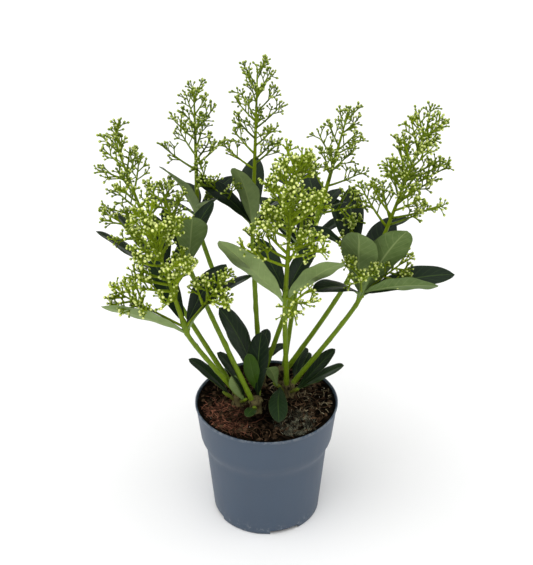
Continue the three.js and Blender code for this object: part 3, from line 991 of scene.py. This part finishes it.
def make_stub(name, finish):
    """A woody stub: flared foot, knotted swollen top, and bark raised in ridges."""
    x, y, turn = STUBS[name]
    radii, shares = zip(*STUB_BARK)
    profile = [(0, STUB_FOOT - STUB_SUNK), (radii[0], STUB_FOOT - STUB_SUNK)]
    for i in range(STUB_RINGS + 1):
        share = i / STUB_RINGS
        profile.append((float(np.interp(share, shares, radii)), mix(STUB_FOOT, STUB_TOP, share)))
    profile += [(radius, STUB_TOP + over) for radius, over in STUB_CROWN]
    shape = spun(profile, STUB_STEPS)
    seed = Vector((turn, x, y))
    across = RIDGES["across"]
    for corner in shape.verts:
        place = corner.co / MM
        grain = Vector((place.x * across, place.y * across, place.z * RIDGES["upright"]))
        ridge = RIDGES["height"] * noise.noise(grain + seed)
        knot = KNOTS["height"] * noise.noise(place * KNOTS["fineness"] + seed)
        away = Vector((place.x, place.y, 0)).normalized()
        corner.co += away * (ridge + knot) * MM
    bmesh.ops.translate(shape, vec=(x * MM, y * MM, 0), verts=shape.verts)
    show(f"woody_stub_{name}", mesh_of(shape, f"woody_stub_{name}"), finish, "bark", f"stub_{name}")


def shoot_line(stub_name, place, stem, panicle):
    """The line of a shoot: its stem from the stub to the whorl, then the straight axis above."""
    x, y, turn = STUBS[stub_name]
    middle = Vector((x, y, STUB_TOP))
    foot = middle + heading(turn + 360 / STEM_PLACES * place, 0) * STEM_CIRCLE
    whorl = middle + heading(stem[0], stem[1]) * stem[2]
    axis = heading(panicle[0], panicle[1])
    return Bow(foot, whorl - axis * STEM["sway"] * stem[2], whorl), axis


def make_stem(name, line, axis, dice, finish):
    """A green stem with leaf scars standing out of its bark, swollen where the leaves stand."""
    points = [line.root - Vector((0, 0, STEM["sunk"]))] + line.points(STEM["points"])
    steps = WHORL["steps"]
    points += [line.tip + axis * WHORL["length"] * i / steps for i in range(1, steps + 1)]
    gaps = [(after - before).length for before, after in zip(points, points[1:])]
    travel = np.concatenate([[0], np.cumsum(gaps)])
    below = travel[STEM["points"]]
    places = [0, below, below + WHORL["swelling"], travel[-1]]
    radii = np.interp(travel, places, [STEM["foot"], STEM["top"], WHORL["radius"], WHORL["tip"]])
    angles = np.linspace(0, 2 * math.pi, STEM["sides"], endpoint=False)
    skin = radii[:, None] * np.ones(STEM["sides"])
    place = dice(*SCARS["first"])
    turn = dice(0, 360)
    while place < travel[-1]:
        near = np.exp(-(((travel - place) / SCARS["length"]) ** 2))[:, None]
        facing = np.exp(SCARS["narrowness"] * (np.cos(angles - math.radians(turn)) - 1))[None, :]
        skin += SCARS["height"] * near * facing + SCARS["ring"] * near
        crowded = SCARS["whorl_gap_share"] if place > below - SCARS["whorl_start"] else 1
        place += SCARS["gap"] * dice(*SCARS["gap_share"]) * crowded
        turn += GOLDEN_TURN
    sheaf = Sheaf()
    sheaf.add(*tube(points, skin, STEM["sides"]))
    sheaf.piece(f"green_stem_{name}", finish, "stem", f"stem_{name}")


# Leaves


def blade_half_width(share, widest, outline):
    """Half the width of a blade at a share of its length, at least its stalk's or its tip's."""
    skew, fullness = outline
    least = BLADE["stalk_half_width"] if share < 0.5 else BLADE["tip_half_width"]
    full = widest * max(0, math.sin(math.pi * share**skew)) ** fullness
    return max(full * min(1, share / BLADE["opening"]), least)


def blade_thickness(share, across, off):
    """Half the thickness of a blade all across one row, and how far its midrib stands out beneath."""
    stalk = BLADE["stalk_depth"] * max(0, 1 - share / BLADE["stalk"])
    thick = mix(*BLADE["thickness"], share) * (1 - BLADE["thin_edge"] * across**2)
    rib = BLADE["rib"] * (1 - share) ** BLADE["rib_taper"] * np.exp(-((off / BLADE["rib_width"]) ** 2))
    return thick + stalk * np.sqrt(1 - across**2), rib


def add_leaf(sheaf, root, leaf, roll, outline, fresh, dice):
    """One leaf: a thin keeled blade arching to a point, on a short stalk, with a midrib beneath."""
    turn, rise, length = leaf[:3]
    arch = leaf[4] if len(leaf) > 4 else LEAF["arch"]
    chord = heading(turn, rise)
    up = turned(heading(turn, rise + 90), chord, roll)
    tip = root + chord * length
    line = Bow(root, root.lerp(tip, 0.5) + up * 2 * arch * length, tip)
    widest = LEAF["width"] * length / 2
    ripple = dice(*BLADE["ripple"])
    ripple_start = dice(*BLADE["ripple_start"])
    bend = dice(-BLADE["bend"], BLADE["bend"]) * length
    across = np.array(BLADE_COLUMNS)
    corners = []
    marks = []
    for share in BLADE_ROWS:
        along = line.along(share)
        side = along.cross(up).normalized()
        face = np.array(side.cross(along))
        half = blade_half_width(share, widest, outline)
        off = half * across
        keel = LEAF["fold"] * (np.sqrt(off**2 + BLADE["keel"]) - math.sqrt(BLADE["keel"]))
        phase = BLADE["ripple_pace"] * share + ripple_start + BLADE["ripple_shift"] * np.sign(across)
        wave = ripple * half * np.sin(phase) * across**2
        drop = BLADE["droop"] * half * across**4
        thick, rib = blade_thickness(share, across, off)
        sway = bend * math.sin(math.pi * share) ** 2
        centre = np.array(line.point(share) + side * sway)
        middle = centre + off[:, None] * np.array(side) + (keel + wave - drop)[:, None] * face
        upper = middle + (thick - BLADE["groove"] * rib)[:, None] * face
        lower = middle - (thick + rib)[:, None] * face
        corners += [upper, lower[::-1]]
        rows = np.full(len(across), share)
        marks.append(np.stack([across, rows, np.zeros(len(across))], axis=1))
        marks.append(np.stack([across[::-1], rows, np.ones(len(across))], axis=1))
    faces = [face[::-1] for face in tube_faces(len(BLADE_ROWS), 2 * len(across))]
    sheaf.add(np.concatenate(corners), faces, blade=np.concatenate(marks), tone=dice(), fresh=fresh)


def add_leaves(sheaf, leaves, foot, axis, length, outline, fresh, dice, fine):
    """Leaves set one above the other on a leafy stretch of a stem or spur."""
    for i, leaf in enumerate(leaves):
        share = mix(WHORL["lowest_leaf"], WHORL["highest_leaf"], i / max(1, len(leaves) - 1))
        root = foot + axis * share * length + heading(leaf[0], leaf[1]) * LEAF["set"]
        any_roll = dice(-LEAF["roll"], LEAF["roll"])
        roll = leaf[3] if len(leaf) > 3 else any_roll
        add_leaf(sheaf, root, leaf, roll, outline, fresh[i], fine)


def make_foot_leaves(name, index, leaf_look, stem_look):
    """Older leaves on a short spur from a stub's side."""
    stub_name, turn, fresh, leaves = FOOT_LEAVES[name]
    x, y, _ = STUBS[stub_name]
    root = Vector((x, y, mix(STUB_FOOT, STUB_TOP, SPUR["share"])))
    direction = heading(turn, SPUR["rise"])
    dice = make_dice(SEEDS["foot"] + SEEDS["step"] * index)
    fine = make_dice(SEEDS["fine"] + SEEDS["foot"] + SEEDS["step"] * index)
    blades = Sheaf()
    first = root + direction * SPUR["first_leaf"]
    leafy = SPUR["length"] - SPUR["first_leaf"]
    add_leaves(blades, leaves, first, direction, leafy, OUTLINES["foot"], fresh, dice, fine)
    blades.piece(f"foot_blades_{name}", leaf_look, "leaf", f"foot_leaves_{name}")
    twig = Sheaf()
    shares, radii = zip(*SPUR_OUTLINE)
    line = [root + direction * SPUR["length"] * share for share in shares]
    twig.add(*tube(line, radii, SPUR["sides"]))
    twig.piece(f"foot_spur_{name}", stem_look, "stem")


# Panicles


Panicle = namedtuple("Panicle", "foot axis length bare spread first_turn radius")


class Blossom:
    """The twigs and buds of one shoot, gathered as they grow."""

    def __init__(self, ripeness, fine):
        self.twigs = Sheaf()
        self.buds = Sheaf()
        self.ripeness = ripeness
        self.fine = fine
        self.tone = TONES["axis"]
        shape = spun(BUD_OUTLINE, BUD_SIDES)
        self.bud_corners = np.array([tuple(corner.co) for corner in shape.verts]) / MM
        self.bud_faces = [tuple(corner.index for corner in face.verts) for face in shape.faces]
        shape.free()

    def twig(self, line, radii, sides=TWIG_SIDES["branch"]):
        """A twig along a line, from its radius at the foot to that at the tip."""
        self.twigs.add(*tube(line, np.linspace(*radii, len(line)), sides), tone=self.tone)

    def stout(self, radii):
        """A twig's radii, made stouter as the panicle ripens."""
        return [radius * mix(*STOUTNESS, self.ripeness) for radius in radii]

    def bud(self, place, direction):
        """A bud at the tip of a stalk, ripe or lagging behind the panicle."""
        fine = self.fine
        ripe = self.ripeness
        if fine() > BUD["ripe_share"]:
            ripe *= fine(*BUD["unripe"])
        radius = mix(BUD["young_radius"], BUD["ripe_radius"], ripe) * fine(*BUD["size"])
        side = direction.cross(aside(direction)).normalized()
        turn = np.array(Matrix((side, direction.cross(side), direction)).transposed())
        length = radius * mix(BUD["young_slimness"], BUD["ripe_slimness"], self.ripeness)
        corners = (self.bud_corners * (radius, radius, length)) @ turn.T + np.array(place)
        tone = TONES["shared"] * self.tone + fine(0, 1 - TONES["shared"])
        self.buds.add(corners, self.bud_faces, tone=tone, ripe=ripe, length=self.bud_corners[:, 2])

    def cyme(self, root, direction, length, stalks):
        """A small fork that ends in a few stalked buds."""
        fine = self.fine
        end = root + direction * length
        self.twig([root, root.lerp(end, 0.5), end], self.stout(TWIGS["fork"]))
        side = direction.cross(aside(direction)).normalized()
        turn = fine(0, 360)
        usual = mix(STALKS["young_length"], STALKS["ripe_length"], self.ripeness)
        for i in range(stalks):
            foot = end - direction * min(STALKS["most_drop"] * length, STALKS["gap"] * ((i + 1) // 2))
            around = turn + 180 * i + fine(-STALKS["turn_jitter"], STALKS["turn_jitter"])
            opening = STALKS["last_opening"]
            if i < stalks - 1:
                opening = STALKS["opening"] * fine(*STALKS["unevenness"])
            lean = opened(direction, turned(side, direction, around), opening)
            lean = (lean + Vector((0, 0, STALKS["lift"]))).normalized()
            tip = foot + lean * usual * fine(*STALKS["unevenness"])
            self.twig([foot, tip], self.stout(TWIGS["stalk"]), TWIG_SIDES["stalk"])
            self.bud(tip, lean)

    def branch(self, panicle, share, turn, vigour):
        """A branch of the panicle: bare at first, then forking to either side."""
        fine = self.fine
        foot, axis, length, bare, spread = panicle[:5]
        across = aside(axis).cross(axis).normalized()
        opening = mix(PANICLE["lowest_opening"], PANICLE["highest_opening"], share)
        lean = opened(axis, turned(across, axis, turn), opening)
        usual = mix(spread * PANICLE["longest"], PANICLE["shortest"], share ** PANICLE["shortening"])
        reach = usual * vigour
        root = foot + axis * mix(bare, length - PANICLE["crown"], share)
        line = Bow(root, root + lean * reach / 2, root + lean * reach + axis * PANICLE["lift"] * reach)
        self.tone = TONES["branch"] * fine() + TONES["ripeness"] * self.ripeness
        radii = [mix(low, high, share) for low, high in zip(TWIGS["low_branch"], TWIGS["high_branch"])]
        self.twig(line.points(BRANCH_END["points"], BRANCH_END["twig"]), self.stout(radii))
        forks = max(1, rounded((FORKS["last"] - FORKS["bare"]) * reach / FORKS["gap"]))
        for i in range(forks):
            progress = (i + fine(*FORKS["place"])) / forks
            place = mix(FORKS["bare"], FORKS["last"], progress)
            along = line.along(place)
            around = 180 * i + fine(-FORKS["turn_jitter"], FORKS["turn_jitter"])
            side = turned(along.cross(aside(along)).normalized(), along, around)
            lean = opened(along, side, FORKS["opening"] * fine(*FORKS["opening_share"]))
            lean += Vector((0, 0, FORKS["lift"]))
            usual = mix(FORKS["longest"], FORKS["shortest"], progress)
            fork = usual * min(1, reach / FORKS["full_branch"]) * fine(*FORKS["length_share"])
            stalks = FORKS["fewest_stalks"] + rounded(fork / FORKS["stalk_gap"])
            self.cyme(line.point(place), lean.normalized(), fork, stalks)
        root = line.point(BRANCH_END["buds"])
        cluster = BRANCH_END["share"] * reach + BRANCH_END["length"]
        self.cyme(root, line.along(BRANCH_END["twig"]), cluster, BRANCH_END["stalks"])

    def panicle(self, panicle, dice):
        """Branches set a golden turn apart up the axis, with shorter ones put in between."""
        fine = self.fine
        tip = panicle.foot + panicle.axis * (panicle.length - PANICLE["crown"])
        start = panicle.foot - panicle.axis * AXIS["sunk"]
        steps = AXIS["steps"]
        line = [start.lerp(tip, i / steps) for i in range(steps + 1)]
        self.tone = TONES["axis"]
        self.twig(line, (panicle.radius, PANICLE["tip"]), TWIG_SIDES["axis"])
        count = rounded((panicle.length - panicle.bare) / PANICLE["spacing"])
        extra = BETWEEN["ripe" if self.ripeness > BETWEEN["ripe_from"] else "young"]
        for i in range(count):
            turn = panicle.first_turn + GOLDEN_TURN * i
            turn += dice(-PANICLE["turn_jitter"], PANICLE["turn_jitter"])
            vigour = dice(*PANICLE["reach"])
            # The solids draw two numbers for each of a branch's buds. They are drawn here too, so that
            # the next branch grows as it does in the solids.
            buds = rounded(mix(PANICLE["most_buds"], PANICLE["fewest_buds"], i / (count - 1)))
            for _ in range(2 * buds):
                dice()
            self.branch(panicle, i / (count - 1), turn, vigour)
            for j in range(extra if i < count - 1 else 0):
                share = (i + (j + fine(*BETWEEN["place"])) / extra) / (count - 1)
                around = turn + GOLDEN_TURN * (j + BETWEEN["turns"])
                around += fine(-BETWEEN["turn_jitter"], BETWEEN["turn_jitter"])
                self.branch(panicle, share, around, fine(*BETWEEN["reach"]))
        self.tone = fine()
        root = tip - panicle.axis * CROWN_END["drop"]
        self.cyme(root, panicle.axis, CROWN_END["share"] * PANICLE["crown"], CROWN_END["stalks"])


def make_shoot(name, index, looks):
    """A stem with its whorl of leaves, its panicle and its side sprays."""
    stub_name, place, stem, panicle, bare, spread, first_turn, ripeness, leaves, sprays = SHOOTS[name]
    dice = make_dice(SEEDS["shoot"] + SEEDS["step"] * index)
    fine = make_dice(SEEDS["fine"] + SEEDS["step"] * index)
    line, axis = shoot_line(stub_name, place, stem, panicle)
    make_stem(name, line, axis, fine, looks["stem"])
    whorl_foot = line.tip + axis * CLEARANCE
    blades = Sheaf()
    old = [0] * len(leaves)
    add_leaves(blades, leaves, whorl_foot, axis, WHORL["length"], OUTLINES["whorl"], old, dice, fine)
    blades.piece(f"leaves_{name}", looks["leaf"], "leaf", f"whorl_{name}")
    blossom = Blossom(ripeness, fine)
    foot = line.tip + axis * (WHORL["length"] + CLEARANCE)
    length = panicle[2] - WHORL["length"] - CLEARANCE
    blossom.panicle(Panicle(foot, axis, length, bare, spread, first_turn, PANICLE["foot"]), dice)
    root = whorl_foot + axis * WHORL["spray"] * WHORL["length"]
    for turn, rise, reach in sprays:
        size = (reach, SPRAY["bare"] * reach, SPRAY["spread"], 360 * dice(), SPRAY["foot"])
        blossom.panicle(Panicle(root, heading(turn, rise), *size), dice)
    blossom.twigs.piece(f"twigs_{name}", looks["twig"], "stem", f"panicle_{name}")
    blossom.buds.piece(f"buds_{name}", looks["bud"], "bud")


# Studio


def make_floor():
    """A plain pale floor."""
    shape = bmesh.new()
    bmesh.ops.create_grid(shape, x_segments=1, y_segments=1, size=FLOOR_HALF_SIDE * MM)
    floor = bpy.data.objects.new("floor", mesh_of(shape, "floor"))
    bpy.context.scene.collection.objects.link(floor)
    pale = Finish("pale_floor")
    colour = pale.blend(pale.grain(pale.place(), 3), paint(246, 246, 246), paint(250, 250, 250))
    pale.give(base_color=colour, roughness=0.9)
    floor.data.materials.append(pale.material)


def make_camera():
    """A camera at the photograph's angle."""
    camera = bpy.data.objects.new("camera", bpy.data.cameras.new("camera"))
    camera.location = [part * MM for part in CAMERA_PLACE]
    camera.rotation_euler = (math.radians(CAMERA_PITCH), 0, 0)
    camera.data.lens = CAMERA_LENS
    bpy.context.scene.collection.objects.link(camera)
    bpy.context.scene.camera = camera
    bpy.context.scene.view_settings.view_transform = "Standard"


def make_lights():
    """A white sky and broad soft lights."""
    world = bpy.data.worlds.new("studio")
    world.use_nodes = True
    sky = world.node_tree.nodes["Background"]
    sky.inputs["Color"].default_value = (1, 1, 1, 1)
    sky.inputs["Strength"].default_value = SKY_STRENGTH
    bpy.context.scene.world = world
    for name, (turn, rise, power, softness) in LIGHTS.items():
        lamp = bpy.data.objects.new(name, bpy.data.lights.new(name, "SUN"))
        lamp.data.energy = power
        lamp.data.angle = math.radians(softness)
        lamp.rotation_euler = heading(turn, rise).to_track_quat("Z", "Y").to_euler()
        bpy.context.scene.collection.objects.link(lamp)


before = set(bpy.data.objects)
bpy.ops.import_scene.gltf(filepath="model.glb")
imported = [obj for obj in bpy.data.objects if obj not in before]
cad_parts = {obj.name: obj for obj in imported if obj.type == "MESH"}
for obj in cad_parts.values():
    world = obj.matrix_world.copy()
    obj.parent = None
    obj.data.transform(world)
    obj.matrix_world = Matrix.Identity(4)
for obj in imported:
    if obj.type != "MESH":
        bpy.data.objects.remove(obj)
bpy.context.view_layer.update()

make_floor()
make_camera()
make_lights()
make_pot(pot_finish())
make_soil(compost_finish())
make_fibres("red_fibres", bits_finish("red_coir", paint(12, 6, 4), paint(178, 120, 96)))
make_fibres("dark_fibres", bits_finish("dark_coir", paint(2, 1, 1), paint(130, 102, 78)))
make_fibres("straw_bits", bits_finish("weathered_straw", paint(34, 28, 18), paint(204, 186, 152)))
make_lumps("bark_chips", bits_finish("bark_chip", paint(4, 3, 2), paint(92, 72, 54)))
make_lumps("pale_grains", bits_finish("pale_grain", paint(110, 102, 88), paint(196, 190, 176)))
make_moss(bits_finish("grey_moss", paint(7, 10, 5), paint(214, 214, 184)))
bark_look = bark_finish()
for stub in STUBS:
    make_stub(stub, bark_look)
looks = {"stem": stem_finish(), "leaf": leaf_finish(), "twig": twig_finish(), "bud": bud_finish()}
for number, foot_name in enumerate(FOOT_LEAVES):
    make_foot_leaves(foot_name, number, looks["leaf"], looks["stem"])
for number, shoot_name in enumerate(SHOOTS):
    make_shoot(shoot_name, number, looks)
